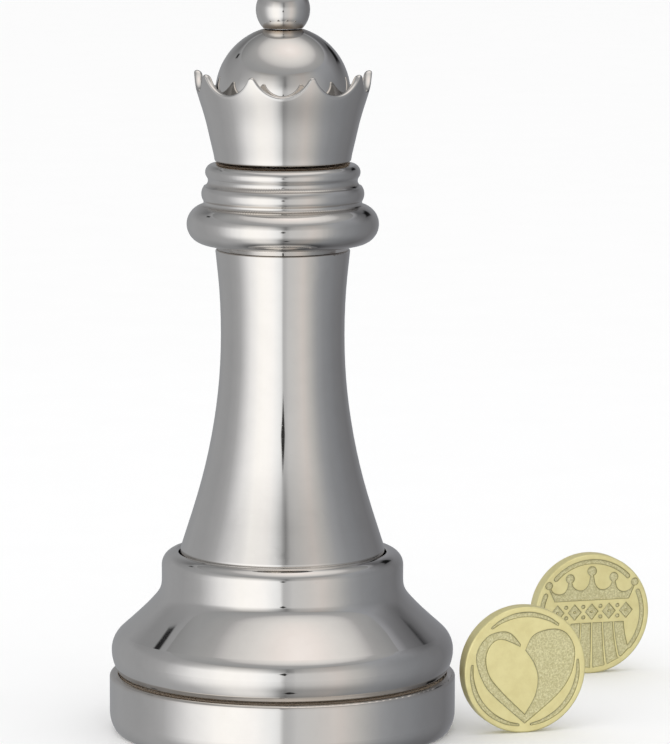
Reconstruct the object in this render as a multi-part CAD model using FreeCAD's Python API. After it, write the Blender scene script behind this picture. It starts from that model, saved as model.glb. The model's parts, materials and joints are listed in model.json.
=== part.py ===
import FreeCAD, Part
import math
import os

# A chess queen that comes apart: a plated metal piece whose column lifts out of its bell-shaped
# foot to uncover a chamber for a coin. Two of the coins stand on their edges beside it.
# Millimetres, +Z up, origin at the centre of the underside of the foot, front towards -Y.

V = FreeCAD.Vector
UP = V(0, 0, 1)

# ---- driving dimensions ------------------------------------------------------------------
DISC_R = 23.0            # foot disc, the widest part
DISC_TOP = 7.6           # top of the rim that stands around the bell
RIM_WALL = 1.2           # width of that rim
BELL_R = 22.72           # widest part of the bell
BELL_NECK_R = 16.04      # upright neck of the bell
BELL_TOP = 24.05
THROAT_R = 13.75         # opening in the bell that the column stands in
COLUMN_FOOT_R = 13.55    # flared foot of the column
WAIST_R = 8.17           # narrowest part of the column
COLUMN_TOP = 64.0
COLLAR_TOP = 75.6        # top of the three-ring collar
CROWN_FOOT_R = 9.02
CROWN_TIP_R = 11.9
CROWN_TOP = 87.7         # tips of the crown's points
CROWN_POINTS = 9
SCALLOP_DEPTH = 2.45
TIP_ROUND = 0.5          # round on the tips of the points
RIM_BREAK = 0.1          # edges broken along the rim
DOME_R = 8.9
DOME_Z = 84.75           # centre of the dome's sphere
BALL_R = 3.56            # finial ball
BALL_Z = 95.8

COIN_R = 8.5
COIN_T = 2.4
COIN_SPACE = 0.3         # radial room for a coin in its chamber
CUP_R = 11.2             # outside of the coin cup, which is also the pivot of the bell
CUP_FLANGE_R = 16.0
CUP_FLANGE_T = 2.2
CUP_TOP = 10.9

TENON_R = 11.03          # lower end of the column
TENON_BOTTOM = 11.4
BORE_R = 5.6             # bore of the column
KEY_Z = 15.5             # height of the two key pins
KEY_R = 1.5
TILT_Z = 18.2            # height of the two tilt pins
TILT_R = 1.2
STOP_Z = 17.8            # height of the stop pin that ends the column's turn
STOP_AT = 75.0           # its direction, in degrees
STOP_R = 0.8
TURN = 60.0              # how far the column turns in the bell, in degrees

LOCK_Z = 78.8            # height of the lock balls
LOCK_R = 1.5             # their radius
LOCK_OUT = 4.65          # distance of their centres from the axis, locked
CAGE_OUT = 5.2           # outside of the cage that holds them
CAGE_IN = 3.2            # its bore
PULL = 4.0               # travel of the finial
LOCK_IN = 1.15           # how far the balls drop in over that travel

RUN = 0.08               # radial room of a running fit
SEAT = 0.02              # room between pieces that are fixed to each other
GAP = 0.3                # room between pieces that move past each other


# ---- helpers -----------------------------------------------------------------------------
def at(point):
    return V(point[0], 0, point[1])


def outline(start, steps):
    """Closed outline of (r, z) points. A step is a point to run straight to, ("arc", through, end),
    or ("curve", points, start direction, end direction) for a smooth line through the points."""
    edges = []
    here = start
    for step in steps + [start]:
        if step[0] == "arc":
            edges.append(Part.Arc(at(here), at(step[1]), at(step[2])).toShape())
            here = step[2]
        elif step[0] == "curve":
            line = Part.BSplineCurve()
            points = [at(p) for p in [here] + step[1]]
            line.interpolate(Points=points, InitialTangent=at(step[2]), FinalTangent=at(step[3]))
            edges.append(line.toShape())
            here = step[1][-1]
        elif step != here:
            edges.append(Part.LineSegment(at(here), at(step)).toShape())
            here = step
    return Part.Face(Part.Wire(edges))


def turned(start, steps):
    return outline(start, steps).revolve(V(0, 0, 0), UP, 360)


def ring(inner, outer, low, high):
    return turned((inner, low), [(outer, low), (outer, high), (inner, high)])


def around(degrees):
    return V(math.cos(math.radians(degrees)), math.sin(math.radians(degrees)), 0)


def radial(radius, start, end, height, degrees):
    """A round bar that points straight out from the axis."""
    direction = around(degrees)
    return Part.makeCylinder(radius, end - start, direction * start + UP * height, direction)


def upright(radius, low, high, distance, degrees):
    """A round bar that stands parallel to the axis."""
    return Part.makeCylinder(radius, high - low, around(degrees) * distance + UP * low, UP)


def split_ring(inner, outer, low, high, middle, opening):
    """A spring ring with a slot, opening degrees wide, that points in the direction middle."""
    slot = Part.makeCylinder(outer + 1, high - low + 2, V(0, 0, low - 1), UP, opening)
    slot.rotate(V(0, 0, 0), UP, middle - opening / 2)
    return ring(inner, outer, low, high).cut(slot)


def save(name, shape):
    shape.exportStep("parts/" + name + ".step")


# ---- foot: disc, coin cup, screws, washer, snap ring ----------------------------------------
RECESS_Z = 5.6           # floor that the bell turns above
WASHER_T = 0.4
SCREW_AT = (90.0, 210.0, 330.0)
SCREW_PITCH_R = 13.6
SCREW_R = 1.0
SCREW_HEAD_R = 1.9
SCREW_TOP = 5.0
CLIP_LOW = 9.5           # snap ring on the coin cup
CLIP_HIGH = 10.5
CLIP_GROOVE = 0.5


def base_disc():
    recess_r = DISC_R - RIM_WALL
    foot_round = 1.1
    rim_round = 0.45
    bore = CUP_R + SEAT
    counterbore = CUP_FLANGE_R + SEAT
    turn = 1 - math.sqrt(0.5)
    disc = turned((bore, RECESS_Z), [
        (recess_r, RECESS_Z), (recess_r, DISC_TOP - 0.15), (recess_r + 0.15, DISC_TOP),
        (DISC_R - rim_round, DISC_TOP),
        ("arc", (DISC_R - rim_round * turn, DISC_TOP - rim_round * turn), (DISC_R, DISC_TOP - rim_round)),
        (DISC_R, 2.6), ("arc", (DISC_R - 0.14, 1.5), (DISC_R - 0.5, 0.6)),
        ("arc", (DISC_R - 0.74, 0.23), (DISC_R - foot_round, 0)),
        (counterbore, 0), (counterbore, CUP_FLANGE_T), (bore, CUP_FLANGE_T)])
    for direction in SCREW_AT:
        disc = disc.cut(upright(SCREW_R + SEAT, CUP_FLANGE_T - 0.5, SCREW_TOP + SEAT, SCREW_PITCH_R, direction))
    return disc


def coin_cup():
    well = COIN_R + COIN_SPACE
    cup = turned((0, 0), [
        (CUP_FLANGE_R, 0), (CUP_FLANGE_R, CUP_FLANGE_T), (CUP_R, CUP_FLANGE_T),
        (CUP_R, CLIP_LOW), (CUP_R - CLIP_GROOVE, CLIP_LOW), (CUP_R - CLIP_GROOVE, CLIP_HIGH),
        (CUP_R, CLIP_HIGH), (CUP_R, CUP_TOP - 0.2), (CUP_R - 0.2, CUP_TOP),
        (well + 0.3, CUP_TOP), (well, CUP_TOP - 0.3), (well, CUP_FLANGE_T), (0, CUP_FLANGE_T)])
    for direction in SCREW_AT:
        place = around(direction) * SCREW_PITCH_R
        room = SCREW_HEAD_R + 0.1
        cup = cup.cut(upright(SCREW_R + 0.1, -1, CUP_FLANGE_T + 1, SCREW_PITCH_R, direction))
        cup = cup.cut(Part.makeCone(room, room - 1.0, 1.0, place, UP))
    return cup


def screw(direction):
    """Countersunk screw with a straight slot, driven from below."""
    place = around(direction) * SCREW_PITCH_R
    head_low = 0.1
    head = Part.makeCone(SCREW_HEAD_R, SCREW_R, SCREW_HEAD_R - SCREW_R, place + UP * head_low, UP)
    shank = upright(SCREW_R, head_low + 0.5, SCREW_TOP, SCREW_PITCH_R, direction)
    slot = Part.makeBox(4.0, 0.4, 0.5, place + V(-2.0, -0.2, head_low))
    return head.fuse(shank).cut(slot)


def thrust_washer():
    return ring(CUP_R + GAP, 20.5, RECESS_Z, RECESS_Z + WASHER_T)


def cup_snap_ring():
    return split_ring(CUP_R - CLIP_GROOVE + SEAT, 12.9, CLIP_LOW + SEAT, CLIP_HIGH - SEAT, 270, 24)


# ---- bell and the pieces fixed in it ---------------------------------------------------------
BELL_LOW = RECESS_Z + WASHER_T + 0.1
WEB_TOP = 9.2            # web that turns on the coin cup
LEDGE_Z = 10.9           # ledge under the lock ring
NEST_R = 13.9            # bore that the lock ring turns in
RETAIN_LOW = 20.7        # spring ring over the lock ring
RETAIN_HIGH = 21.5
RETAIN_GROOVE_R = 14.5
STOP_IN = 13.0           # inner end of the stop pin
STOP_END = 15.4


def base_bell():
    belly_z = 10.8
    under_r = 5.2        # belly's round below its widest point
    over_r = 3.45        # and above it
    skirt = BELL_R - under_r + math.sqrt(under_r ** 2 - (belly_z - DISC_TOP) ** 2)
    low_mid = math.radians(-19)
    high_mid = math.radians(24)
    high_end = math.radians(48)
    shoulder = (BELL_R - over_r * (1 - math.cos(high_end)), belly_z + over_r * math.sin(high_end))
    lip = 1.85           # round of the top rim
    lip_z = BELL_TOP - lip
    lip_r = BELL_NECK_R - lip
    half = math.sqrt(0.5)
    bell = turned((CUP_R + RUN, BELL_LOW), [
        (skirt - 0.3, BELL_LOW), (skirt, BELL_LOW + 0.3), (skirt, DISC_TOP),
        ("arc", (BELL_R - under_r * (1 - math.cos(low_mid)), belly_z + under_r * math.sin(low_mid)),
         (BELL_R, belly_z)),
        ("arc", (BELL_R - over_r * (1 - math.cos(high_mid)), belly_z + over_r * math.sin(high_mid)), shoulder),
        ("curve", [(19.76, 15.0), (17.71, 17.0), (16.48, 18.5), (BELL_NECK_R, 20.4)],
         (-math.sin(high_end), math.cos(high_end)), (0, 1)),
        (BELL_NECK_R, lip_z),
        ("arc", (lip_r + lip * half, lip_z + lip * half), (lip_r, BELL_TOP)),
        ("arc", (THROAT_R + 0.1, BELL_TOP - 0.1), (THROAT_R, BELL_TOP - 0.35)),
        (THROAT_R, RETAIN_HIGH), (RETAIN_GROOVE_R, RETAIN_HIGH), (RETAIN_GROOVE_R, RETAIN_LOW),
        (NEST_R, RETAIN_LOW), (NEST_R, LEDGE_Z), (NEST_R - 0.6, LEDGE_Z),
        (NEST_R - 0.6, WEB_TOP), (CUP_R + RUN, WEB_TOP)])
    return bell.cut(radial(STOP_R + SEAT, NEST_R - 0.5, STOP_END + SEAT, STOP_Z, STOP_AT))


def lock_ring_clip():
    return split_ring(12.9, RETAIN_GROOVE_R - 0.05, RETAIN_LOW + SEAT, RETAIN_HIGH - SEAT, 210, 24)


def stop_pin():
    return radial(STOP_R, STOP_IN, STOP_END, STOP_Z, STOP_AT)


# ---- lock ring, which the column turns ---------------------------------------------------------
RING_LOW = LEDGE_Z + 0.1
RING_HIGH = RETAIN_LOW - GAP
RING_BORE = TENON_R + RUN
RING_R = NEST_R - RUN
KEYWAY_R = 12.4
STOP_SLOT_R = 12.7


def lock_ring():
    shape = ring(RING_BORE, RING_R, RING_LOW, RING_HIGH)
    keyway_w = 2 * KEY_R + 0.2
    keyway_low = KEY_Z - KEY_R - 0.1
    slot_h = 2 * STOP_R + 0.2
    slot_margin = 4.5    # degrees beyond the pin's centre at each end of its travel
    for direction in (0, 180):
        keyway = Part.makeBox(4.0, keyway_w, RING_HIGH, V(KEYWAY_R - 4.0, -keyway_w / 2, keyway_low))
        keyway.rotate(V(0, 0, 0), UP, direction)
        shape = shape.cut(keyway)
        shape = shape.cut(radial(TILT_R + 0.2, RING_BORE - 1, 12.8, TILT_Z, direction + 90))
    slot = Part.makeCylinder(RING_R + 1, slot_h, V(0, 0, STOP_Z - slot_h / 2), UP, TURN + 2 * slot_margin)
    slot = slot.cut(Part.makeCylinder(STOP_SLOT_R, slot_h, V(0, 0, STOP_Z - slot_h / 2), UP))
    slot.rotate(V(0, 0, 0), UP, STOP_AT - TURN - slot_margin)
    return shape.cut(slot)


# ---- column, its plug, pins and rubber ring, the collar and the ball cage ------------------------
SHOULDER_Z = RETAIN_HIGH + 0.35
COUNTERBORE_R = 8.0
PLUG_FLANGE_T = 1.0
ORING_Z = 12.9
ORING_R = 0.68
TILT_HEAD_R = 1.6
TILT_HEAD_AT = 5.9       # inner end of a tilt pin at rest
TILT_HEAD_T = 0.8
TILT_TIP = 10.7
TILT_TRAVEL = 1.3
SPIGOT_R = 7.0           # upper end of the column, inside the collar
SPIGOT_TOP = 69.7
COLLAR_LOW = 65.0
COLLAR_WEB = 71.0
CAGE_LOW = 66.0
CAGE_TOP = 81.3


def column():
    groove_r = TENON_R - 1.35
    shape = turned((BORE_R, TENON_BOTTOM + PLUG_FLANGE_T), [
        (COUNTERBORE_R + SEAT, TENON_BOTTOM + PLUG_FLANGE_T), (COUNTERBORE_R + SEAT, TENON_BOTTOM),
        (TENON_R - 0.4, TENON_BOTTOM), (TENON_R, TENON_BOTTOM + 0.4),
        (TENON_R, ORING_Z - 0.75), (groove_r, ORING_Z - 0.75), (groove_r, ORING_Z + 0.75),
        (TENON_R, ORING_Z + 0.75), (TENON_R, SHOULDER_Z), (COLUMN_FOOT_R - 0.3, SHOULDER_Z),
        (COLUMN_FOOT_R, SHOULDER_Z + 0.3), (COLUMN_FOOT_R, BELL_TOP + 0.35),
        ("curve", [(12.07, 29.0), (10.36, 35.0), (9.14, 41.0), (8.4, 47.0), (WAIST_R, 53.5),
                   (8.38, 59.0), (8.88, COLUMN_TOP)], (-0.32, 1), (0.11, 1)),
        ("arc", (8.8, COLUMN_TOP + 0.22), (8.6, COLUMN_TOP + 0.3)),
        (SPIGOT_R, COLUMN_TOP + 0.3), (SPIGOT_R, SPIGOT_TOP), (BORE_R, SPIGOT_TOP)])
    for direction in (0, 180):
        shape = shape.cut(radial(KEY_R + SEAT, 8.5, TENON_R + 1, KEY_Z, direction))
        shape = shape.cut(radial(TILT_R + 0.05, BORE_R, TENON_R + 1, TILT_Z, direction + 90))
        shape = shape.cut(radial(TILT_HEAD_R + 0.1, BORE_R - 1, TILT_HEAD_AT + TILT_HEAD_T + TILT_TRAVEL + GAP,
                                 TILT_Z, direction + 90))
    return shape


def column_plug():
    """Screwed in from below, and stops the tilt pins from falling into the bore."""
    body = BORE_R - SEAT
    top = TILT_Z + 2.0
    plug = turned((0, TENON_BOTTOM), [
        (COUNTERBORE_R - 0.2, TENON_BOTTOM), (COUNTERBORE_R, TENON_BOTTOM + 0.2),
        (COUNTERBORE_R, TENON_BOTTOM + PLUG_FLANGE_T - SEAT), (body, TENON_BOTTOM + PLUG_FLANGE_T - SEAT),
        (body, top - 0.4), (body - 0.4, top), (0, top)])
    return plug.cut(Part.makeBox(12.0, 1.4, 0.6, V(-6.0, -0.7, TENON_BOTTOM)))


def key_pin(direction):
    return radial(KEY_R, 8.5 + SEAT, KEYWAY_R - GAP, KEY_Z, direction)


def friction_ring():
    return Part.makeTorus(TENON_R + RUN - 0.03 - ORING_R, ORING_R, V(0, 0, ORING_Z), UP)


def collar():
    return turned((SPIGOT_R + SEAT, COLLAR_LOW), [
        (8.9, COLLAR_LOW - 0.05), (10.07, COLLAR_LOW),
        ("arc", (12.67, 67.6), (10.85, 70.08)), ("arc", (10.46, 70.38), (10.5, 70.75)),
        ("arc", (10.73, 71.6), (10.42, 72.58)), ("arc", (9.87, 73.22), (9.98, 73.77)),
        ("arc", (10.22, 74.45), (9.6, 75.44)), (8.9, COLLAR_TOP),
        (CAGE_OUT + SEAT, COLLAR_TOP), (CAGE_OUT + SEAT, COLLAR_WEB), (SPIGOT_R + SEAT, COLLAR_WEB)])


def ball_cage():
    """Tube clamped between column and collar. The crown turns on its upper end."""
    flange_r = SPIGOT_R - 0.1
    cage = turned((CAGE_IN, CAGE_LOW), [
        (CAGE_OUT, CAGE_LOW), (CAGE_OUT, SPIGOT_TOP + SEAT), (flange_r, SPIGOT_TOP + SEAT),
        (flange_r, COLLAR_WEB - SEAT), (CAGE_OUT, COLLAR_WEB - SEAT), (CAGE_OUT, CAGE_TOP - 0.3),
        (CAGE_OUT - 0.3, CAGE_TOP), (CAGE_IN, CAGE_TOP)])
    for direction in SCREW_AT:
        cage = cage.cut(radial(LOCK_R + 0.06, 1.0, CAGE_OUT + 1, LOCK_Z, direction))
    return cage


# ---- crown, its bush, and the dome ---------------------------------------------------------------
CROWN_LOW = COLLAR_TOP + 0.35
CROWN_FLOOR = 82.5
BUSH_R = 7.25
BUSH_LOW = 76.9
BUSH_TOP = 80.5


def crown():
    rim_in = CROWN_TIP_R - 0.95
    foot = CROWN_FOOT_R
    shape = turned((5.5, CROWN_LOW), [
        (foot - 0.4, CROWN_LOW), ("arc", (foot - 0.1, CROWN_LOW + 0.1), (foot, CROWN_LOW + 0.38)),
        ("curve", [(9.62, 79.0), (10.36, 82.0), (11.29, 85.0), (CROWN_TIP_R, CROWN_TOP)],
         (0.16, 1), (0.2, 1)),
        (rim_in, CROWN_TOP),
        ("curve", [(10.35, 85.0), (9.5, CROWN_FLOOR + 0.5)], (-0.2, -1), (-0.34, -1)),
        (9.1, CROWN_FLOOR), (BUSH_R + SEAT, CROWN_FLOOR), (BUSH_R + SEAT, BUSH_LOW), (5.5, BUSH_LOW)])
    for k in range(CROWN_POINTS):
        cutter = scallop()
        cutter.rotate(V(0, 0, 0), UP, k * 360.0 / CROWN_POINTS)
        shape = shape.cut(cutter)
    return shape.makeChamfer(RIM_BREAK, rim_edges(shape))


def rim_edges(shape):
    """The edges along the scalloped rim, on the outside and the inside of its wall."""
    lowest = CROWN_TOP - SCALLOP_DEPTH - 0.5
    found = []
    for edge in shape.Edges:
        ends = [math.hypot(vertex.X, vertex.Y) for vertex in edge.Vertexes]
        across_wall = max(ends) - min(ends) > 0.7
        if edge.BoundBox.ZMin > lowest and edge.Length > 0.2 and not across_wall:
            found.append(edge)
    return found


def scallop():
    """What is cut away between two points at the front: a round valley that runs into a small
    round over half of each point."""
    half_chord = CROWN_TIP_R * math.sin(math.pi / CROWN_POINTS)
    reach = (half_chord ** 2 + SCALLOP_DEPTH ** 2) / (2 * SCALLOP_DEPTH)
    valley_r = reach - TIP_ROUND
    valley_z = CROWN_TOP - SCALLOP_DEPTH + valley_r
    tip_z = CROWN_TOP - TIP_ROUND
    lean = math.atan2(valley_z - tip_z, half_chord)
    bend = (lean + math.pi / 2) / 2

    def on_tip(side, angle):
        return V(side * (half_chord - TIP_ROUND * math.cos(angle)), 0, tip_z + TIP_ROUND * math.sin(angle))

    def joint(side):
        return on_tip(side, lean)

    above = 3.0
    points = [V(-half_chord, 0, CROWN_TOP), joint(-1), joint(1), V(half_chord, 0, CROWN_TOP),
              V(half_chord, 0, CROWN_TOP + above), V(-half_chord, 0, CROWN_TOP + above)]
    edges = [
        Part.Arc(points[0], on_tip(-1, bend), points[1]).toShape(),
        Part.Arc(points[1], V(0, 0, CROWN_TOP - SCALLOP_DEPTH), points[2]).toShape(),
        Part.Arc(points[2], on_tip(1, bend), points[3]).toShape(),
        Part.LineSegment(points[3], points[4]).toShape(),
        Part.LineSegment(points[4], points[5]).toShape(),
        Part.LineSegment(points[5], points[0]).toShape()]
    face = Part.Face(Part.Wire(edges))
    face.translate(V(0, -6.0, 0))
    return face.extrude(V(0, -10.0, 0))


def crown_bush():
    """Bearing of the crown, with a groove inside that the lock balls run in."""
    bush = ring(CAGE_OUT + RUN, BUSH_R, BUSH_LOW + SEAT, BUSH_TOP)
    return bush.cut(Part.makeTorus(LOCK_OUT, LOCK_R + GAP, V(0, 0, LOCK_Z), UP))


def dome():
    rod_bore = 1.95
    flat_r = math.sqrt(DOME_R ** 2 - (93.3 - DOME_Z) ** 2)
    slant = math.radians(40)
    return turned((rod_bore, 93.3), [
        (flat_r, 93.3),
        ("arc", (DOME_R * math.cos(slant), DOME_Z + DOME_R * math.sin(slant)), (DOME_R, DOME_Z)),
        (DOME_R, CROWN_FLOOR + 0.35), (DOME_R - 0.3, CROWN_FLOOR + 0.05),
        (BUSH_R, CROWN_FLOOR + 0.05), (BUSH_R, BUSH_TOP + 0.1), (CAGE_OUT + 0.4, BUSH_TOP + 0.1),
        (CAGE_OUT + 0.4, 84.5), (4.6, 84.5), (4.6, 91.0), (rod_bore, 91.0)])


# ---- finial: ball, spindle, washer, clip, spring, and the balls it works --------------------------
SPINDLE_R = CAGE_IN - RUN
ROD_R = 1.8
TAIL_R = 1.7
STUD_R = 1.48
SEAT_Z = 93.4            # flat under the finial ball
WASHER_LOW = 82.6
WASHER_HIGH = 83.4
CLIP_Z = 61.0
SPRING_LOW = 83.45
SPRING_HIGH = 90.95
SPRING_R = 3.5
SPRING_WIRE_R = 0.3
SPRING_TURNS = 5


def finial_ball():
    flat_r = math.sqrt(BALL_R ** 2 - (BALL_Z - SEAT_Z) ** 2)
    bore_top = 96.6
    return turned((STUD_R + SEAT, SEAT_Z), [
        (flat_r, SEAT_Z), ("arc", (BALL_R, BALL_Z), (0, BALL_Z + BALL_R)),
        (0, bore_top), (STUD_R + SEAT, bore_top)])


def spindle():
    """A cone under its thick part lets the lock balls drop in as it rises."""
    slope = LOCK_IN / PULL
    cone_r = LOCK_OUT - (LOCK_R + 0.05) * math.sqrt(1 + slope ** 2)
    cone_low = LOCK_Z - (cone_r - TAIL_R) / slope
    cone_high = LOCK_Z + (SPINDLE_R - cone_r) / slope
    stud_low = SEAT_Z - SEAT
    return turned((0, 60.0), [
        (TAIL_R - 0.3, 60.0), (TAIL_R, 60.3), (TAIL_R, CLIP_Z), (1.3, CLIP_Z), (1.3, CLIP_Z + 0.6),
        (TAIL_R, CLIP_Z + 0.6), (TAIL_R, cone_low), (SPINDLE_R, cone_high), (SPINDLE_R, WASHER_LOW),
        (ROD_R, WASHER_LOW), (ROD_R, stud_low), (STUD_R, stud_low), (STUD_R, 96.4), (0, 96.4)])


def spring_washer():
    return ring(ROD_R + 0.05, 4.2, WASHER_LOW + SEAT, WASHER_HIGH)


def spindle_clip():
    return split_ring(1.3 + SEAT, 3.4, CLIP_Z + SEAT, CLIP_Z + 0.6 - SEAT, 270, 50)


def spindle_spring():
    height = SPRING_HIGH - SPRING_LOW - 2 * SPRING_WIRE_R
    path = Part.makeHelix(height / SPRING_TURNS, height, SPRING_R)
    path.translate(UP * (SPRING_LOW + SPRING_WIRE_R))
    start = V(SPRING_R, 0, SPRING_LOW + SPRING_WIRE_R)
    section = Part.Wire(Part.makeCircle(SPRING_WIRE_R, start, V(0, 1, 0)))
    return Part.Wire(path.Edges).makePipeShell([section], True, True)


def lock_ball(direction):
    return Part.makeSphere(LOCK_R, around(direction) * LOCK_OUT + UP * LOCK_Z)


def tilt_pin(direction):
    """Slides out when the piece is tipped or spun, and bolts the column to the lock ring."""
    head = radial(TILT_HEAD_R, TILT_HEAD_AT, TILT_HEAD_AT + TILT_HEAD_T, TILT_Z, direction)
    return head.fuse(radial(TILT_R, TILT_HEAD_AT + TILT_HEAD_T, TILT_TIP, TILT_Z, direction))


# ---- coins -----------------------------------------------------------------------------------------
COIN_YAW = 17.0          # degrees that the front of a coin is turned towards +X
COIN_PLACES = {"coin_1": (31.9, -2.0), "coin_2": (42.8, 38.0)}


def coin(x, y):
    """Stands on its edge. Both faces are sunk inside a raised border."""
    border = 0.9
    sunk = 0.3
    round_off = 0.25
    half = COIN_T / 2
    field = COIN_R - border
    shape = turned((0, -half + sunk), [
        (field - 0.2, -half + sunk), (field, -half), (COIN_R - round_off, -half), (COIN_R, -half + round_off),
        (COIN_R, half - round_off), (COIN_R - round_off, half), (field, half), (field - 0.2, half - sunk),
        (0, half - sunk)])
    shape.rotate(V(0, 0, 0), V(1, 0, 0), 90)
    shape.rotate(V(0, 0, 0), UP, COIN_YAW)
    shape.translate(V(x, y, COIN_R))
    return shape


# ---- write the pieces --------------------------------------------------------------------------------
os.makedirs("parts", exist_ok=True)

save("base_disc", base_disc())
save("coin_cup", coin_cup())
save("cup_screws", Part.makeCompound([screw(direction) for direction in SCREW_AT]))
save("thrust_washer", thrust_washer())
save("cup_snap_ring", cup_snap_ring())

save("base_bell", base_bell())
save("lock_ring_clip", lock_ring_clip())
save("stop_pin", stop_pin())

save("lock_ring", lock_ring())

save("column", column())
save("column_plug", column_plug())
save("key_pins", Part.makeCompound([key_pin(direction) for direction in (0, 180)]))
save("friction_ring", friction_ring())
save("collar", collar())
save("ball_cage", ball_cage())

save("crown", crown())
save("crown_bush", crown_bush())
save("dome", dome())

save("finial_ball", finial_ball())
save("spindle", spindle())
save("spring_washer", spring_washer())
save("spindle_clip", spindle_clip())
save("spindle_spring", spindle_spring())

for number, direction in enumerate(SCREW_AT, 1):
    save("lock_ball_%d" % number, lock_ball(direction))
for number, direction in enumerate((90, 270), 1):
    save("tilt_pin_%d" % number, tilt_pin(direction))
for name, place in COIN_PLACES.items():
    save(name, coin(*place))
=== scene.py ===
import bpy
import json
import math
import numpy as np
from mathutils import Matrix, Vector


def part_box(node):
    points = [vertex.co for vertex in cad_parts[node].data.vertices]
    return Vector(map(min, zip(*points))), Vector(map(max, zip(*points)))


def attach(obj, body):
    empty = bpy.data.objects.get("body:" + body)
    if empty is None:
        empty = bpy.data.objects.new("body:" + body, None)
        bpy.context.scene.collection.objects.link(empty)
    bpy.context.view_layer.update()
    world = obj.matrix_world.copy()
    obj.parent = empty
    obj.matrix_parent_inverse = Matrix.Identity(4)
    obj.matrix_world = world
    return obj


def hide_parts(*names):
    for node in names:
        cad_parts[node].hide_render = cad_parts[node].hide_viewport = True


# The looks of the chess queen puzzle: polished plating, machined brass and steel inside, and two
# struck brass coins, in a pale studio. Metres, in the CAD model's own frame.

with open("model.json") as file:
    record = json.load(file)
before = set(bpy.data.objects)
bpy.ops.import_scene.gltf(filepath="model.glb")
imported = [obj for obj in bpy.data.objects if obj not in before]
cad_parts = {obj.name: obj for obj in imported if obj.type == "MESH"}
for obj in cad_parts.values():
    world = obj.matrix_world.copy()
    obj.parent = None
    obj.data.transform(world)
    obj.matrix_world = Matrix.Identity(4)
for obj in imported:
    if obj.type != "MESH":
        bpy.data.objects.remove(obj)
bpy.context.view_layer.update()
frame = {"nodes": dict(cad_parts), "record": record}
nodes = frame["nodes"]
MM = 0.001


# ---- node helpers --------------------------------------------------------------------------
class Graph:
    """A short way to write a node tree."""

    def __init__(self, tree):
        self.tree = tree
        tree.nodes.clear()

    def node(self, kind, inputs=None, **settings):
        made = self.tree.nodes.new(kind)
        for key, value in settings.items():
            setattr(made, key, value)
        for key, value in (inputs or {}).items():
            if isinstance(value, bpy.types.NodeSocket):
                self.tree.links.new(value, made.inputs[key])
            else:
                made.inputs[key].default_value = value
        return made

    def math(self, operation, a, b=0.0, c=0.0):
        return self.node("ShaderNodeMath", {0: a, 1: b, 2: c}, operation=operation).outputs[0]

    def smooth(self, value, low, high, out_low=0.0, out_high=1.0):
        """Goes smoothly from out_low to out_high as value goes from low to high."""
        made = self.node("ShaderNodeMapRange", {"Value": value, "From Min": low, "From Max": high,
                                                "To Min": out_low, "To Max": out_high},
                         interpolation_type="SMOOTHSTEP")
        return made.outputs["Result"]

    def noise(self, vector, scale, detail=2.0, roughness=0.5):
        return self.node("ShaderNodeTexNoise", {"Vector": vector, "Scale": scale, "Detail": detail,
                                                "Roughness": roughness}).outputs["Fac"]

    def ramp(self, value, stops, interpolation="LINEAR"):
        """stops is a list of (place, value or colour)."""
        made = self.node("ShaderNodeValToRGB", {0: value})
        band = made.color_ramp
        band.interpolation = interpolation
        while len(band.elements) < len(stops):
            band.elements.new(0.5)
        for element, (place, level) in zip(band.elements, stops):
            element.position = place
            colour = (level,) * 3 if isinstance(level, float) else level
            element.color = (*colour, 1.0)
        return made.outputs["Color"]

    def mix(self, factor, a, b, kind="RGBA", blend="MIX"):
        made = self.node("ShaderNodeMix", data_type=kind, blend_type=blend)
        sockets = {"FLOAT": (0, 2, 3, 0), "RGBA": (0, 6, 7, 2)}[kind]
        for place, value in zip(sockets[:3], (factor, a, b)):
            if isinstance(value, bpy.types.NodeSocket):
                self.tree.links.new(value, made.inputs[place])
            elif kind == "RGBA" and place != 0:
                made.inputs[place].default_value = (*value, 1.0)
            else:
                made.inputs[place].default_value = value
        return made.outputs[sockets[3]]

    def bump(self, height, strength, distance, normal=None):
        inputs = {"Height": height, "Strength": strength, "Distance": distance}
        if normal is not None:
            inputs["Normal"] = normal
        return self.node("ShaderNodeBump", inputs).outputs["Normal"]


def material(name):
    made = bpy.data.materials.new(name)
    made.use_nodes = True
    graph = Graph(made.node_tree)
    place = graph.node("ShaderNodeTexCoord").outputs["Object"]
    return made, graph, place


def surface(graph, **inputs):
    """Ends a material with one Principled surface. Inputs use the socket names with _ for a space."""
    sockets = {key.replace("_", " "): value for key, value in inputs.items()}
    shader = graph.node("ShaderNodeBsdfPrincipled", sockets)
    out = graph.node("ShaderNodeOutputMaterial")
    graph.tree.links.new(shader.outputs[0], out.inputs["Surface"])


# ---- materials -----------------------------------------------------------------------------
METAL = (0.745, 0.72, 0.69)


def object_height(graph, place):
    """Height above the floor, in millimetres."""
    return graph.math("DIVIDE", graph.node("ShaderNodeSeparateXYZ", {0: place}).outputs[2], MM)


def turning_marks(graph, place, pitch):
    """Faint rings that a lathe tool leaves, pitch metres apart, uneven from one to the next."""
    stretched = graph.node("ShaderNodeMapping", {"Vector": place, "Scale": (0.02, 0.02, 1.0)}).outputs[0]
    return graph.noise(stretched, 1.0 / pitch, 3.0, 0.6)


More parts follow.
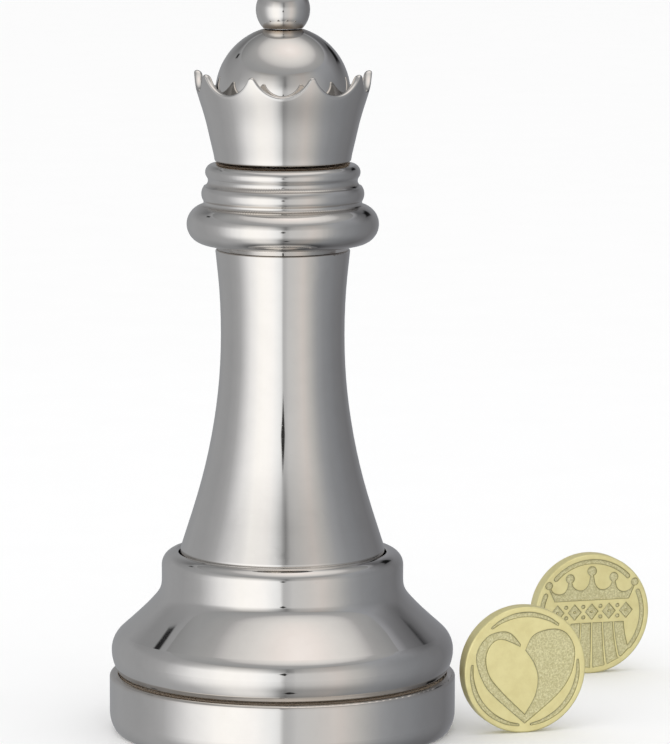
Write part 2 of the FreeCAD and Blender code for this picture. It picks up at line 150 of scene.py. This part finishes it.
def plated_metal():
    """Polished nickel plating: nearly a mirror, a little uneven, with fine polishing hairlines and a brown
    painted shade in the seams. Its warm tone builds up where it reflects itself."""
    made, graph, place = material("plated_metal")
    slow = graph.noise(place, 110.0, 1.5)
    cloud = graph.noise(place, 380.0, 4.0, 0.6)
    fine = turning_marks(graph, place, 0.00035)
    specks = graph.smooth(graph.noise(place, 2600.0, 2.0), 0.74, 0.8)
    seam_shade = seam_shade_mask(graph, place)
    haze = graph.smooth(cloud, 0.35, 0.75, 0.025, 0.065)
    hairline = graph.smooth(fine, 0.45, 0.75, 0.0, 0.03)
    rough = graph.math("ADD", haze, hairline)
    rough = graph.math("MULTIPLY_ADD", specks, 0.10, rough)
    rough = graph.math("MULTIPLY_ADD", seam_shade, 0.05, rough)
    clean = graph.mix(graph.smooth(cloud, 0.3, 0.8), METAL, [0.965 * level for level in METAL])
    # painted shade: the seams turn brown under the ball, in the collar's grooves and round the foot
    tone = graph.mix(seam_shade, clean, (0.50, 0.43, 0.36))
    # painted shade: deep in two gaps the plating turns dark brown, matte and not metallic
    dull_and_shade = gap_shade_mask(graph, place)
    tone = graph.mix(dull_and_shade, tone, graph.mix(cloud, (0.30, 0.24, 0.18), (0.36, 0.29, 0.22)))
    rough = graph.math("MULTIPLY_ADD", dull_and_shade, 0.4, rough)
    normal = graph.bump(slow, 0.06, 0.0006)
    normal = graph.bump(fine, 0.03, 0.00002, normal)
    normal = graph.bump(groove_ticks(graph, place), 0.5, 0.000022, normal)
    surface(graph, Base_Color=tone, Metallic=graph.smooth(dull_and_shade, 0.0, 1.0, 1.0, 0.0), Roughness=rough, Normal=normal)
    return made


def band(graph, value, middle, width):
    """1 at middle, falling smoothly to 0 at width either side."""
    off = graph.math("ABSOLUTE", graph.math("SUBTRACT", value, middle))
    return graph.smooth(off, 0.0, width, 1.0, 0.0)


def seam_shade_mask(graph, place):
    """Where brown painted shade darkens the seams: under the ball, in the collar's grooves, round the foot's seam."""
    height = object_height(graph, place)
    rows = [(top_of("base_disc"), 0.7, 0.4), (top_of("column") - 4.9, 0.6, 0.6), (70.1, 0.4, 0.5),
            (72.95, 0.4, 0.5), (top_of("dome"), 0.9, 0.9)]
    mask = 0.0
    for middle, width, strength in rows:
        mask = graph.math("MAXIMUM", mask, graph.math("MULTIPLY", band(graph, height, middle, width), strength))
    patchy = graph.smooth(graph.noise(place, 260.0, 2.0), 0.3, 0.65, 0.55, 1.0)
    return graph.math("MULTIPLY", mask, patchy)


def gap_shade_mask(graph, place):
    """Painted shade deep in two seams, under the bell's edge and under the crown, where the faces are made
    dark brown and matte. Each is a height, half its thickness, and the radius that it stays inside, in millimetres."""
    height = object_height(graph, place)
    split = graph.node("ShaderNodeSeparateXYZ", {0: place}).outputs
    flat = graph.node("ShaderNodeCombineXYZ", {0: split[0], 1: split[1]}).outputs[0]
    out = graph.math("DIVIDE", graph.node("ShaderNodeVectorMath", {0: flat}, operation="LENGTH").outputs["Value"], MM)
    mask = 0.0
    for middle, width, radius in ((top_of("base_disc") - 0.1, 0.5, 21.7), (low_of("crown") - 0.3, 0.6, 8.85)):
        ring = graph.math("MULTIPLY", band(graph, height, middle, width), graph.smooth(out, radius - 0.06, radius + 0.06, 1.0, 0.0))
        mask = graph.math("MAXIMUM", mask, graph.smooth(ring, 0.0, 0.45))
    return mask


def groove_ticks(graph, place):
    """Faint chatter marks across the collar's two grooves, that come and go round them."""
    height = object_height(graph, place)
    split = graph.node("ShaderNodeSeparateXYZ", {0: place}).outputs
    turn = graph.math("ARCTAN2", split[0], split[1])
    wave = graph.math("SINE", graph.math("MULTIPLY", turn, 190.0))
    both = graph.math("MAXIMUM", band(graph, height, 70.1, 0.4), band(graph, height, 72.95, 0.35))
    comes_and_goes = graph.smooth(graph.noise(place, 240.0, 2.0), 0.4, 0.62, 0.15, 1.0)
    return graph.math("MULTIPLY", graph.math("MULTIPLY", wave, both), comes_and_goes)


def top_of(node):
    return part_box(node)[1].z / MM


def low_of(node):
    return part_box(node)[0].z / MM


def machined(name, bright, dull_and_shade, rough_low, rough_high, pitch=0.0003, metallic=1.0):
    """A turned metal piece that is left bare: rings from the tool, a light tarnish."""
    made, graph, place = material(name)
    marks = turning_marks(graph, place, pitch)
    cloud = graph.noise(place, 300.0, 4.0, 0.6)
    tone = graph.mix(graph.smooth(cloud, 0.3, 0.75), bright, dull_and_shade)
    rough = graph.math("ADD", graph.smooth(cloud, 0.3, 0.7, rough_low, rough_high),
                       graph.smooth(marks, 0.4, 0.7, 0.0, 0.08))
    normal = graph.bump(marks, 0.25, 0.00003)
    normal = graph.bump(cloud, 0.05, 0.0001, normal)
    surface(graph, Base_Color=tone, Metallic=metallic, Roughness=rough, Normal=normal)
    return made


def coin_brass():
    """Struck pale brass: satin on the raised parts, sand-textured and darker in the sunk ones, with painted shade
    darkening their sloping walls.
    """
    made, graph, place = material("pale_brass")
    depth = graph.node("ShaderNodeAttribute", attribute_name="sunk").outputs["Fac"]
    sand = graph.noise(place, 4200.0, 3.0, 0.7)
    cloud = graph.noise(place, 500.0, 4.0, 0.65)
    scratch = graph.noise(graph.node("ShaderNodeMapping", {"Vector": place, "Scale": (1.0, 1.0, 9.0),
                                                           "Rotation": (0.4, 0.7, 0.2)}).outputs[0], 1500.0, 3.0)
    raised = graph.mix(graph.smooth(cloud, 0.3, 0.75), (0.95, 0.87, 0.45), (0.88, 0.79, 0.39))
    pit = graph.mix(graph.smooth(sand, 0.38, 0.68), (0.72, 0.66, 0.34), (1.0, 0.95, 0.62))
    tone = graph.mix(depth, raised, pit)
    # painted shade: the sloping walls of the sunk figures are darkened to a deep olive brown
    wall_shade = graph.smooth(graph.math("ABSOLUTE", graph.math("SUBTRACT", depth, 0.45)), 0.15, 0.42, 1.0, 0.0)
    tone = graph.mix(graph.math("MULTIPLY", wall_shade, 0.75), tone, (0.34, 0.30, 0.12))
    rough = graph.mix(depth, graph.smooth(cloud, 0.3, 0.7, 0.34, 0.46), graph.smooth(sand, 0.3, 0.7, 0.40, 0.62), "FLOAT")
    normal = graph.bump(graph.math("MULTIPLY", sand, depth), 0.7, 0.0002)
    normal = graph.bump(scratch, 0.12, 0.00003, normal)
    normal = graph.bump(cloud, 0.2, 0.00012, normal)
    surface(graph, Base_Color=tone, Metallic=0.6, Roughness=rough, Normal=normal)
    return made


def white_plastic():
    made, graph, place = material("white_plastic")
    cloud = graph.noise(place, 250.0, 3.0)
    tone = graph.mix(cloud, (0.86, 0.86, 0.84), (0.78, 0.78, 0.75))
    surface(graph, Base_Color=tone, Roughness=graph.smooth(cloud, 0.3, 0.7, 0.4, 0.55),
            Normal=graph.bump(graph.noise(place, 3000.0), 0.1, 0.00003))
    return made


def black_rubber():
    made, graph, place = material("black_rubber")
    cloud = graph.noise(place, 900.0, 3.0)
    tone = graph.mix(cloud, (0.022, 0.022, 0.024), (0.05, 0.05, 0.05))
    surface(graph, Base_Color=tone, Roughness=graph.smooth(cloud, 0.3, 0.7, 0.5, 0.75),
            Normal=graph.bump(cloud, 0.15, 0.00005))
    return made


MATERIALS = {
    "plated_metal": plated_metal(),
    "pale_brass": coin_brass(),
    "turned_brass": machined("turned_brass", (0.85, 0.68, 0.36), (0.66, 0.50, 0.24), 0.16, 0.28),
    "steel": machined("steel", (0.62, 0.62, 0.63), (0.50, 0.50, 0.51), 0.18, 0.30),
    "spring_steel": machined("spring_steel", (0.40, 0.40, 0.43), (0.27, 0.27, 0.29), 0.24, 0.36),
    "bearing_steel": machined("bearing_steel", (0.76, 0.76, 0.78), (0.66, 0.66, 0.68), 0.05, 0.10, 0.0008),
    "white_plastic": white_plastic(),
    "black_rubber": black_rubber(),
}
SLOTS = {row["node"]: row["material_slot"] for row in frame["record"]["subparts"]}


def dress_cad():
    for name, obj in nodes.items():
        for place in range(len(obj.material_slots)):
            obj.material_slots[place].material = MATERIALS[SLOTS[name]]


dress_cad()


# ---- coins ---------------------------------------------------------------------------------
# A coin's relief is drawn in millimetres, x to the right and y up, as seen from its front.
RELIEF = 0.24            # depth of the sunk figures
WALL = 0.15              # width of their sloping sides


def signed_distance(x, y, outline):
    """Distance to a closed outline, minus inside it, for arrays of points."""
    nearest = np.full(x.shape, 1e9)
    inside = np.zeros(x.shape, bool)
    for (ax, ay), (bx, by) in zip(outline, outline[1:] + outline[:1]):
        ex, ey = bx - ax, by - ay
        t = np.clip(((x - ax) * ex + (y - ay) * ey) / (ex * ex + ey * ey + 1e-12), 0, 1)
        nearest = np.minimum(nearest, np.hypot(x - ax - t * ex, y - ay - t * ey))
        if abs(ey) > 1e-12:
            inside ^= ((ay > y) != (by > y)) & (x < ax + (y - ay) * ex / ey)
    return np.where(inside, -nearest, nearest)


def smooth_line(points, steps=8):
    """An open curve through the points."""
    line = []
    for k in range(len(points) - 1):
        a, b = points[max(k - 1, 0)], points[k]
        c, d = points[k + 1], points[min(k + 2, len(points) - 1)]
        for step in range(steps):
            t = step / steps
            line.append(tuple(0.5 * (2 * b[i] + (c[i] - a[i]) * t + (2 * a[i] - 5 * b[i] + 4 * c[i] - d[i]) * t * t
                                     + (3 * b[i] - a[i] - 3 * c[i] + d[i]) * t ** 3) for i in (0, 1)))
    return line + [points[-1]]


def groove(x, y, middle, spread, radius=7.45, half_width=0.3, taper=0.0):
    """A round-ended groove along the border, spread degrees to each side of the middle one."""
    turn = (np.degrees(np.arctan2(y, x)) - middle + 180) % 360 - 180
    past = np.radians(np.maximum(np.abs(turn) - spread, 0)) * radius
    narrower = 1 - taper * np.clip(np.abs(turn) / spread, 0, 1) ** 2
    return np.hypot(np.hypot(x, y) - radius, past) - half_width * narrower


def heart_face(x, y):
    """Sunk amount from 0 to 1: a heart whose right half is all sunk and whose left half is a sunk band
    that curls in to a point, and three grooves along the border."""
    left_lobe = smooth_line([(-0.7, 3.5), (-2.0, 4.95), (-3.4, 5.28), (-5.2, 4.75), (-6.55, 3.1), (-6.75, 1.3),
                             (-5.9, -1.2), (-4.4, -3.25), (0, -7.2)])
    right_lobe = smooth_line([(0, -7.2), (4.4, -3.7), (6.3, -1.2), (6.95, 1.3), (6.75, 3.1), (5.6, 4.75),
                              (3.7, 5.28), (1.2, 4.6), (0.05, 2.65)])
    parting = smooth_line([(0.05, 2.65), (1.25, 0.9), (1.85, -1.2), (1.4, -3.7), (0, -6.05)])
    leaf = smooth_line([(0, -6.05), (-3.2, -2.9), (-5.05, -0.5), (-5.5, 2.0), (-4.6, 3.85), (-3.1, 4.25), (-0.7, 3.2)])
    figures = [signed_distance(x, y, left_lobe[:-1] + right_lobe[:-1] + parting[:-1] + leaf),
               groove(x, y, 90, 38, taper=0.6), groove(x, y, 218, 45, taper=0.6), groove(x, y, -38, 45, taper=0.6)]
    return sunk_from(np.minimum.reduce(figures))


def crown_outline():
    """A five-pointed crown without its balls: round hollows between its points, a straight foot."""
    tips = [(6.3, 3.9), (3.25, 4.75), (0.0, 5.7), (-3.25, 4.75), (-6.3, 3.9)]
    stem = 0.17
    points = [(5.5, 1.98), (6.3, 3.7)]
    for (ax, ay), (bx, by) in zip(tips, tips[1:]):
        start, end = ax - stem, bx + stem
        lowest = 2.95 if abs(ax + bx) > 5 else 3.35
        for step in range(13):
            t = step / 12
            line = ay + (by - ay) * t
            points.append((start + (end - start) * t, line - (line - lowest) * math.sqrt(max(0.0, 1 - (2 * t - 1) ** 2))))
    return points + [(-6.3, 3.7), (-5.5, 1.98)]


def flute(k):
    """One of the six flutes that spread downwards, at k = -2.5 to 2.5 from the middle line."""
    top, rim = -1.3, 7.65
    sides = []
    for edge in (-0.42, 0.42):
        line = []
        for step in range(9):
            t = step / 8
            x = (k + edge * (1 - 0.06 * t)) * (1.62 + 0.55 * t ** 1.5)
            line.append((x, top - (rim + top) * t))
        sides.append(line)
    outline = sides[0] + sides[1][::-1]
    return [(x, max(y, -math.sqrt(max(0.0, rim ** 2 - x ** 2)))) for x, y in outline]


def crown_face(x, y):
    """A crown with balls on its points, a band of lozenges and beads, flutes, and border grooves."""
    figures = [signed_distance(x, y, crown_outline())]
    for ball_x, ball_y, radius in [(6.4, 4.3, 0.5), (3.25, 5.15, 0.6), (0, 6.1, 0.64)]:
        figures.append(np.hypot(np.abs(x) - ball_x, y - ball_y) - radius)
    for k in range(-2, 3):
        lozenge = (np.abs(x - 2.55 * k) / 0.95 + np.abs(y - 0.32) / 1.1 - 1) * 0.7
        figures.append(np.maximum(lozenge, 0.16 - np.hypot(x - 2.55 * k, y - 0.32)))
    for k in (-1.5, -0.5, 0.5, 1.5):
        figures.append(np.hypot(x - 2.55 * k, np.abs(y - 0.32) - 0.75) - 0.24)
    for k in (-2.5, -1.5, -0.5, 0.5, 1.5, 2.5):
        figures.append(signed_distance(x, y, flute(k)))
    figures += [groove(x, y, 90, 46, half_width=0.28), groove(x, y, 189, 32, half_width=0.28),
                groove(x, y, -9, 32, half_width=0.28)]
    return sunk_from(np.minimum.reduce(figures))


def sunk_from(distance):
    t = np.clip(0.5 - distance / WALL, 0, 1)
    return t * t * (3 - 2 * t)


def coin(node, front, back):
    """A closed disc with a rounded edge and relief on both faces. It stands where the CAD coin stands."""
    low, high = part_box(node)
    radius = (high.z - low.z) / 2 / MM - 0.015
    middle = (low + high) / 2
    yaw = math.radians(17.0)
    half = 1.2
    around_steps = 480
    edge_round = 0.25
    radii = list(np.linspace(0.0, radius - edge_round, 88))
    turn = np.linspace(0, 2 * np.pi, around_steps, endpoint=False)
    rows = [(r, half, 1) for r in radii]
    bends = np.radians([75, 60, 45, 30, 15, 0])
    rows += [(radius - edge_round + edge_round * math.cos(a), half - edge_round + edge_round * math.sin(a), 0) for a in bends]
    rows += [(r, -z, -face) for r, z, face in reversed(rows)]
    co, sunk = [], []
    for r, z, face in rows:
        x, y = r * np.cos(turn), r * np.sin(turn)
        if r == 0.0:
            x, y = x[:1], y[:1]
        amount = {1: front, -1: lambda a, b: back(-a, b)}[face](x, y) if face else np.zeros(x.shape)
        co.append(np.stack([x, np.full(x.shape, z) - face * RELIEF * amount, y], 1))
        sunk.append(amount)
    count = [len(c) for c in co]
    first = np.concatenate([[0], np.cumsum(count)[:-1]])
    faces = []
    for a, b in zip(range(len(rows) - 1), range(1, len(rows))):
        for k in range(around_steps):
            n = (k + 1) % around_steps
            if count[a] == 1:
                faces.append((first[a], first[b] + n, first[b] + k))
            elif count[b] == 1:
                faces.append((first[a] + k, first[a] + n, first[b]))
            else:
                faces.append((first[a] + k, first[a] + n, first[b] + n, first[b] + k))
    co = np.concatenate(co) * MM
    co[:, 1] *= -1       # the front looks towards -Y
    cos, sin = math.cos(yaw), math.sin(yaw)
    turned = np.stack([co[:, 0] * cos - co[:, 1] * sin, co[:, 0] * sin + co[:, 1] * cos, co[:, 2]], 1)
    turned += np.array(middle)
    mesh = bpy.data.meshes.new(node + "_struck")
    mesh.from_pydata(turned.tolist(), [], [tuple(int(i) for i in f) for f in faces])
    mesh.attributes.new("sunk", "FLOAT", "POINT").data.foreach_set("value", np.concatenate(sunk).astype(np.float32))
    mesh.polygons.foreach_set("use_smooth", [True] * len(mesh.polygons))
    mesh.materials.append(MATERIALS["pale_brass"])
    obj = bpy.data.objects.new(node + "_struck", mesh)
    bpy.context.collection.objects.link(obj)
    bpy.context.view_layer.update()
    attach(obj, "loose_" + node)
    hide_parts(node)
    obj.visible_glossy = False
    return obj


coin("coin_1", heart_face, crown_face)
coin("coin_2", crown_face, heart_face)


# ---- crown ---------------------------------------------------------------------------------
def through(points, slopes):
    """Polynomial r(z) through (r, z) points that has the given slopes at its two ends."""
    z = np.array([point[1] for point in points])
    base = z[0]
    powers = np.arange(len(points) + 2)
    rows = [(height - base) ** powers for height in z]
    for height in (z[0], z[-1]):
        lower = np.where(powers > 0, powers - 1, 0)
        rows.append(powers * np.where(powers > 0, float(height - base) ** lower, 0.0))
    weights = np.linalg.solve(np.array(rows, float), np.array([point[0] for point in points] + list(slopes), float))
    return lambda height: sum(weight * (height - base) ** power for power, weight in enumerate(weights))


def rounded_crown():
    """The crown with its scalloped rim fully rounded, as plating and polishing leave it. Its walls and
    seats are the CAD crown's, and only the rim differs."""
    low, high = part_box("crown")
    foot_z, tip_z, tip_r = low.z / MM, high.z / MM, 11.9
    points, depth, tip_round, lip = 9, 2.5, 0.45, 0.36
    outside = through([(9.02, foot_z + 0.38), (9.62, 79.0), (10.36, 82.0), (11.29, 85.0), (tip_r, tip_z)], (0.16, 0.2))
    inside = through([(9.5, 83.0), (10.35, 85.0), (tip_r - 0.95, tip_z)], (0.34, 0.2))
    turn = np.linspace(-np.pi, np.pi, points * 72, endpoint=False)
    valley = -np.pi / 2
    off = (turn - valley + np.pi / points) % (2 * np.pi / points) - np.pi / points
    half_chord = tip_r * math.sin(math.pi / points)
    along = np.abs(half_chord * np.sin(off) / math.sin(math.pi / points))
    reach = (half_chord ** 2 + depth ** 2) / (2 * depth)
    valley_r, valley_z = reach - tip_round, tip_z - depth + reach - tip_round
    lean = math.atan2(valley_z - tip_z + tip_round, half_chord)
    joins = half_chord - tip_round * math.cos(lean)
    on_valley = valley_z - np.sqrt(valley_r ** 2 - np.minimum(along, joins) ** 2)
    on_tip = tip_z - tip_round + np.sqrt(np.maximum(tip_round ** 2 - (half_chord - along) ** 2, 0))
    top = np.where(along > joins, on_tip, on_valley) + 0.09
    same = np.ones_like(turn)
    rows = [(5.5 * same, foot_z * same), (8.78 * same, foot_z * same), (8.89 * same, (foot_z + 0.03) * same),
            (8.96 * same, (foot_z + 0.09) * same), (9.0 * same, (foot_z + 0.2) * same)]
    wall_top = top - lip
    for step in np.linspace(0, 1, 26):
        z = foot_z + 0.38 + (wall_top - foot_z - 0.38) * step
        rows.append((outside(z), z))
    inner_top = wall_top - 0.22
    outer_r, inner_r = outside(wall_top), inside(inner_top)
    for angle in np.linspace(0, np.pi, 15)[1:-1]:
        blend = (1 - math.cos(angle)) / 2
        rows.append((outer_r + (inner_r - outer_r) * blend, wall_top + (inner_top - wall_top) * blend + lip * math.sin(angle)))
    for step in np.linspace(1, 0, 20):
        z = 83.0 + (inner_top - 83.0) * step
        rows.append((inside(z), z))
    rows += [(r * same, z * same) for r, z in ((9.1, 82.5), (7.27, 82.5), (7.27, 76.9), (5.5, 76.9))]
    co = np.stack([np.stack([r * np.cos(turn), r * np.sin(turn), z], 1) for r, z in rows]) * MM
    count, around_count = len(rows), len(turn)
    faces = []
    for k in range(count):
        a, b = k * around_count, (k + 1) % count * around_count
        faces += [(a + i, a + (i + 1) % around_count, b + (i + 1) % around_count, b + i) for i in range(around_count)]
    mesh = bpy.data.meshes.new("crown_rounded")
    mesh.from_pydata(co.reshape(-1, 3).tolist(), [], faces)
    mesh.polygons.foreach_set("use_smooth", [True] * len(mesh.polygons))
    mesh.set_sharp_from_angle(angle=math.radians(35))
    mesh.materials.append(MATERIALS["plated_metal"])
    obj = bpy.data.objects.new("crown_rounded", mesh)
    bpy.context.collection.objects.link(obj)
    bpy.context.view_layer.update()
    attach(obj, "crown")
    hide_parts("crown")


rounded_crown()


# ---- studio --------------------------------------------------------------------------------
# Polished metal shows its surroundings, so they are built as a round booth that only reflections see:
# a wall of soft cards, a lit ceiling, and the small dark lens in front. By compass angle, where 0 is
# straight ahead of the object's front and plus is to its right, these are the wall's brightnesses low
# down, in the middle, and up at the ceiling.
BOOTH_R = 0.35
CEILING = 0.35
WALL_LOW = [(-180, .28), (-135, .37), (-107, .37), (-92, .41), (-83, .47), (-75, .62), (-67, .80), (-60, .96),
            (-52, 1.06), (-43, 1.17), (-34, 1.21), (-25, 1.21), (-16, 1.18), (-9, 1.09), (-5, 1.03), (-2, .95),
            (-.6, .87), (.6, .58), (3, .55), (6, .58), (10, .65), (25, .68), (34, .70), (41, .66), (52, .54),
            (60, .44), (67, .37), (80, .30), (107, .23), (135, .19), (180, .28)]
WALL_MIDDLE = [(-180, .24), (-135, .30), (-107, .35), (-85, .38), (-67, .54), (-52, .76), (-42, .98), (-25, .99),
               (-16, .93), (-9, .76), (-5, .62), (-2, .52), (1, .36), (4.5, .22), (7, .33), (10, .44), (16, .50),
               (28, .54), (40, .54), (52, .47), (67, .39), (85, .30), (107, .26), (135, .13), (150, .12), (180, .24)]
WALL_HIGH = [(-180, .18), (-145, .18), (-130, .30), (-107, .35), (-85, .38), (-67, .43), (-52, .50), (-40, .60),
             (-25, .58), (-16, .53), (-9, .44), (-4.5, .37), (0, .30), (4.5, .24), (9, .34), (16, .42), (30, .46),
             (52, .44), (67, .40), (85, .35), (107, .32), (125, .22), (145, .12), (160, .14), (180, .18)]
WALL_FOOT = [(-180, .22), (-135, .31), (-107, .39), (-85, .42), (-67, .50), (-52, .70), (-37, .90), (-25, .90),
             (-16, .84), (-9, .66), (-4.5, .46), (-1.5, .30), (1.5, .22), (5, .25), (9, .30), (16, .34), (37, .37),
             (52, .33), (67, .28), (85, .23), (107, .18), (135, .14), (180, .22)]
WALL_TINT = [(-110, (.99, .99, 1.0)), (-75, (1.0, .99, .995)), (-52, (1.02, 1.0, .98)), (-38, (1.03, 1.0, .96)),
             (-20, (1.03, 1.0, .97)), (-5, (1.0, 1.0, .995)), (5, (1.01, 1.0, .995)), (20, (1.03, 1.0, .97)),
             (38, (1.07, .99, .935)), (52, (1.03, 1.0, .965)), (70, (.98, .995, 1.025)), (95, (.97, .99, 1.04)),
             (130, (.985, .98, 1.02))]
CEILING_GLOW = [(0, (1.12, 1.04, .99)), (.05, (1.02, .94, .89)), (.11, (.865, .83, .795)), (.15, (.755, .73, .705)),
                (.175, (.67, .65, .63)), (.19, (.60, .58, .57)), (.215, (.45, .44, .435)), (.24, (.415, .41, .405)),
                (.31, (.37, .37, .37)), (.40, (.35, .35, .35))]
# The cards are tinted against the plating's own warmth, so that one reflection comes out neutral.
AGAINST_METAL = (1.054, 1.083, 1.116)


def studio_world():
    """What a miss sees: white behind the object, an even white sky over the floor, dim for reflections."""
    world = bpy.data.worlds.new("studio")
    bpy.context.scene.world = world
    world.use_nodes = True
    graph = Graph(world.node_tree)
    path = graph.node("ShaderNodeLightPath")
    matt = graph.mix(path.outputs["Is Diffuse Ray"], (0.3, 0.3, 0.3), (0.99, 0.99, 0.99))
    colour = graph.mix(path.outputs["Is Camera Ray"], matt, (1.0, 1.0, 1.0))
    shader = graph.node("ShaderNodeBackground", {"Color": colour, "Strength": 1.0})
    out = graph.node("ShaderNodeOutputWorld")
    graph.tree.links.new(shader.outputs[0], out.inputs["Surface"])


def glow(name, colour_of, opacity_of=None):
    """A material that shines the colour that colour_of draws, seen through where opacity_of is low."""
    made, graph, place = material(name)
    shader = graph.node("ShaderNodeEmission", {"Color": colour_of(graph, place), "Strength": 1.0}).outputs[0]
    if opacity_of is not None:
        clear = graph.node("ShaderNodeBsdfTransparent").outputs[0]
        shader = graph.node("ShaderNodeMixShader", {0: opacity_of(graph, place), 1: clear, 2: shader}).outputs[0]
    out = graph.node("ShaderNodeOutputMaterial")
    graph.tree.links.new(shader, out.inputs["Surface"])
    made.cycles.emission_sampling = "NONE"
    return made


def only_in_reflections(name, points, faces, shine):
    mesh = bpy.data.meshes.new(name)
    mesh.from_pydata(points, [], faces)
    mesh.materials.append(shine)
    obj = bpy.data.objects.new(name, mesh)
    bpy.context.collection.objects.link(obj)
    for kind in ("camera", "diffuse", "shadow", "transmission", "volume_scatter"):
        setattr(obj, "visible_" + kind, False)
    return obj


def wall_colour(graph, place):
    split = graph.node("ShaderNodeSeparateXYZ", {0: place}).outputs
    height = split[2]
    turn = graph.math("ARCTAN2", split[0], graph.math("MULTIPLY", split[1], -1.0))
    turn = graph.math("MULTIPLY_ADD", turn, 0.5 / math.pi, 0.5)

    def around(stops):
        return graph.ramp(turn, [(degrees / 360 + 0.5, level) for degrees, level in stops])

    def gap(degrees, half_turn, middle, half_height):
        """A dark gap between the cards, a soft-edged diamond."""
        off = graph.math("ABSOLUTE", graph.math("SUBTRACT", turn, degrees / 360 + 0.5))
        rise = graph.math("ABSOLUTE", graph.math("SUBTRACT", height, middle))
        reach = graph.math("ADD", graph.math("DIVIDE", off, half_turn / 360), graph.math("DIVIDE", rise, half_height))
        return graph.smooth(reach, 0.45, 1.05, 0.93, 0.0)

    lower = graph.mix(graph.smooth(height, -0.27, -0.05), around(WALL_FOOT), around(WALL_LOW))
    lower = graph.mix(graph.smooth(height, 0.115, 0.205), lower, around(WALL_MIDDLE))
    whole = graph.mix(graph.smooth(height, 0.17, 0.31), lower, around(WALL_HIGH))
    whole = graph.mix(graph.smooth(height, 0.29, CEILING), whole, (0.36, 0.36, 0.36))
    tinted = graph.mix(1.0, whole, around(WALL_TINT), blend="MULTIPLY")
    tinted = graph.mix(1.0, tinted, AGAINST_METAL, blend="MULTIPLY")
    dark = graph.smooth(height, -0.9, -0.3, 0.65, 0.0)
    for place_of_gap in ((-127, 6, 0.30, 0.035), (149, 17, 0.205, 0.055), (6, 8, -0.34, 0.06)):
        dark = graph.math("MAXIMUM", dark, gap(*place_of_gap))
    return graph.mix(dark, tinted, (0.0, 0.0, 0.0))


def ceiling_colour(graph, place):
    shifted = graph.node("ShaderNodeVectorMath", {0: place, 1: (-0.04, 0.03, -CEILING)}, operation="ADD").outputs[0]
    far = graph.node("ShaderNodeVectorMath", {0: shifted}, operation="LENGTH").outputs["Value"]
    lit = graph.ramp(graph.math("DIVIDE", far, 0.4), [(stop / 0.4, colour) for stop, colour in CEILING_GLOW])
    lit = graph.mix(1.0, lit, AGAINST_METAL, blend="MULTIPLY")
    back = graph.node("ShaderNodeSeparateXYZ", {0: place}).outputs[1]
    return graph.mix(graph.smooth(back, 0.03, 0.32, 0.0, 0.35), lit, (0.0, 0.0, 0.0))


def booth():
    count = 180
    low = -1.0
    ring = [(BOOTH_R * math.sin(math.tau * k / count), -BOOTH_R * math.cos(math.tau * k / count)) for k in range(count)]
    wall = [(x, y, low) for x, y in ring] + [(x, y, CEILING) for x, y in ring]
    sides = [(k, (k + 1) % count, count + (k + 1) % count, count + k) for k in range(count)]
    only_in_reflections("booth_wall", wall, sides, glow("booth_wall_glow", wall_colour))
    top = [(x, y, CEILING) for x, y in ring]
    only_in_reflections("booth_ceiling", top, [tuple(range(count))], glow("booth_ceiling_glow", ceiling_colour))


def lens():
    """The small dark lens that looks at the object, a soft diamond in its reflections."""
    away, middle, half_width, half_height = 0.21, 0.077, 0.015, 0.027
    across = 0.004

    def opacity(graph, place):
        split = graph.node("ShaderNodeSeparateXYZ", {0: place}).outputs
        side = graph.math("ABSOLUTE", graph.math("SUBTRACT", split[0], across))
        rise = graph.math("ABSOLUTE", graph.math("SUBTRACT", split[2], middle))
        reach = graph.math("ADD", graph.math("DIVIDE", side, half_width), graph.math("DIVIDE", rise, half_height))
        return graph.smooth(reach, 0.55, 1.0, 1.0, 0.0)

    def black(graph, place):
        return graph.mix(graph.noise(place, 60.0), (0.02, 0.02, 0.02), (0.05, 0.05, 0.05))

    points = [(across - half_width, -away, middle), (across, -away, middle - half_height),
              (across + half_width, -away, middle), (across, -away, middle + half_height)]
    only_in_reflections("lens", points, [(0, 1, 2, 3)], glow("lens_dark", black, opacity))


def floor():
    mesh = bpy.data.meshes.new("floor")
    half = 6.0
    mesh.from_pydata([(-half, -half, 0), (half, -half, 0), (half, half, 0), (-half, half, 0)], [], [(0, 1, 2, 3)])
    obj = bpy.data.objects.new("floor", mesh)
    bpy.context.collection.objects.link(obj)
    made, graph, place = material("floor_white")
    grain = graph.noise(place, 60.0, 3.0)
    surface(graph, Base_Color=graph.mix(grain, (0.93, 0.93, 0.93), (0.95, 0.95, 0.95)), Roughness=0.7)
    mesh.materials.append(made)
    obj.visible_glossy = False


def soft_sun():
    """Lights the floor and the coins from the upper left, with a broad soft shadow. Mirrors don't show it."""
    data = bpy.data.lights.new("soft_sun", "SUN")
    data.energy = 0.55
    data.angle = math.radians(70)
    obj = bpy.data.objects.new("soft_sun", data)
    bpy.context.collection.objects.link(obj)
    obj.rotation_euler = (math.radians(25), math.radians(-20), 0)
    obj.visible_glossy = False


def camera():
    data = bpy.data.cameras.new("camera")
    data.lens = 239.5
    data.sensor_width = 36.0
    data.clip_start = 0.01
    obj = bpy.data.objects.new("camera", data)
    bpy.context.collection.objects.link(obj)
    obj.location = (0.00671, -0.648, 0.138)
    pitch = math.radians(7.915)
    obj.rotation_euler = (math.pi / 2 - pitch, math.radians(-0.13), 0)
    bpy.context.scene.camera = obj


studio_world()
booth()
lens()
floor()
soft_sun()
camera()
scene = bpy.context.scene
scene.view_settings.view_transform = "Standard"
scene.view_settings.look = "None"
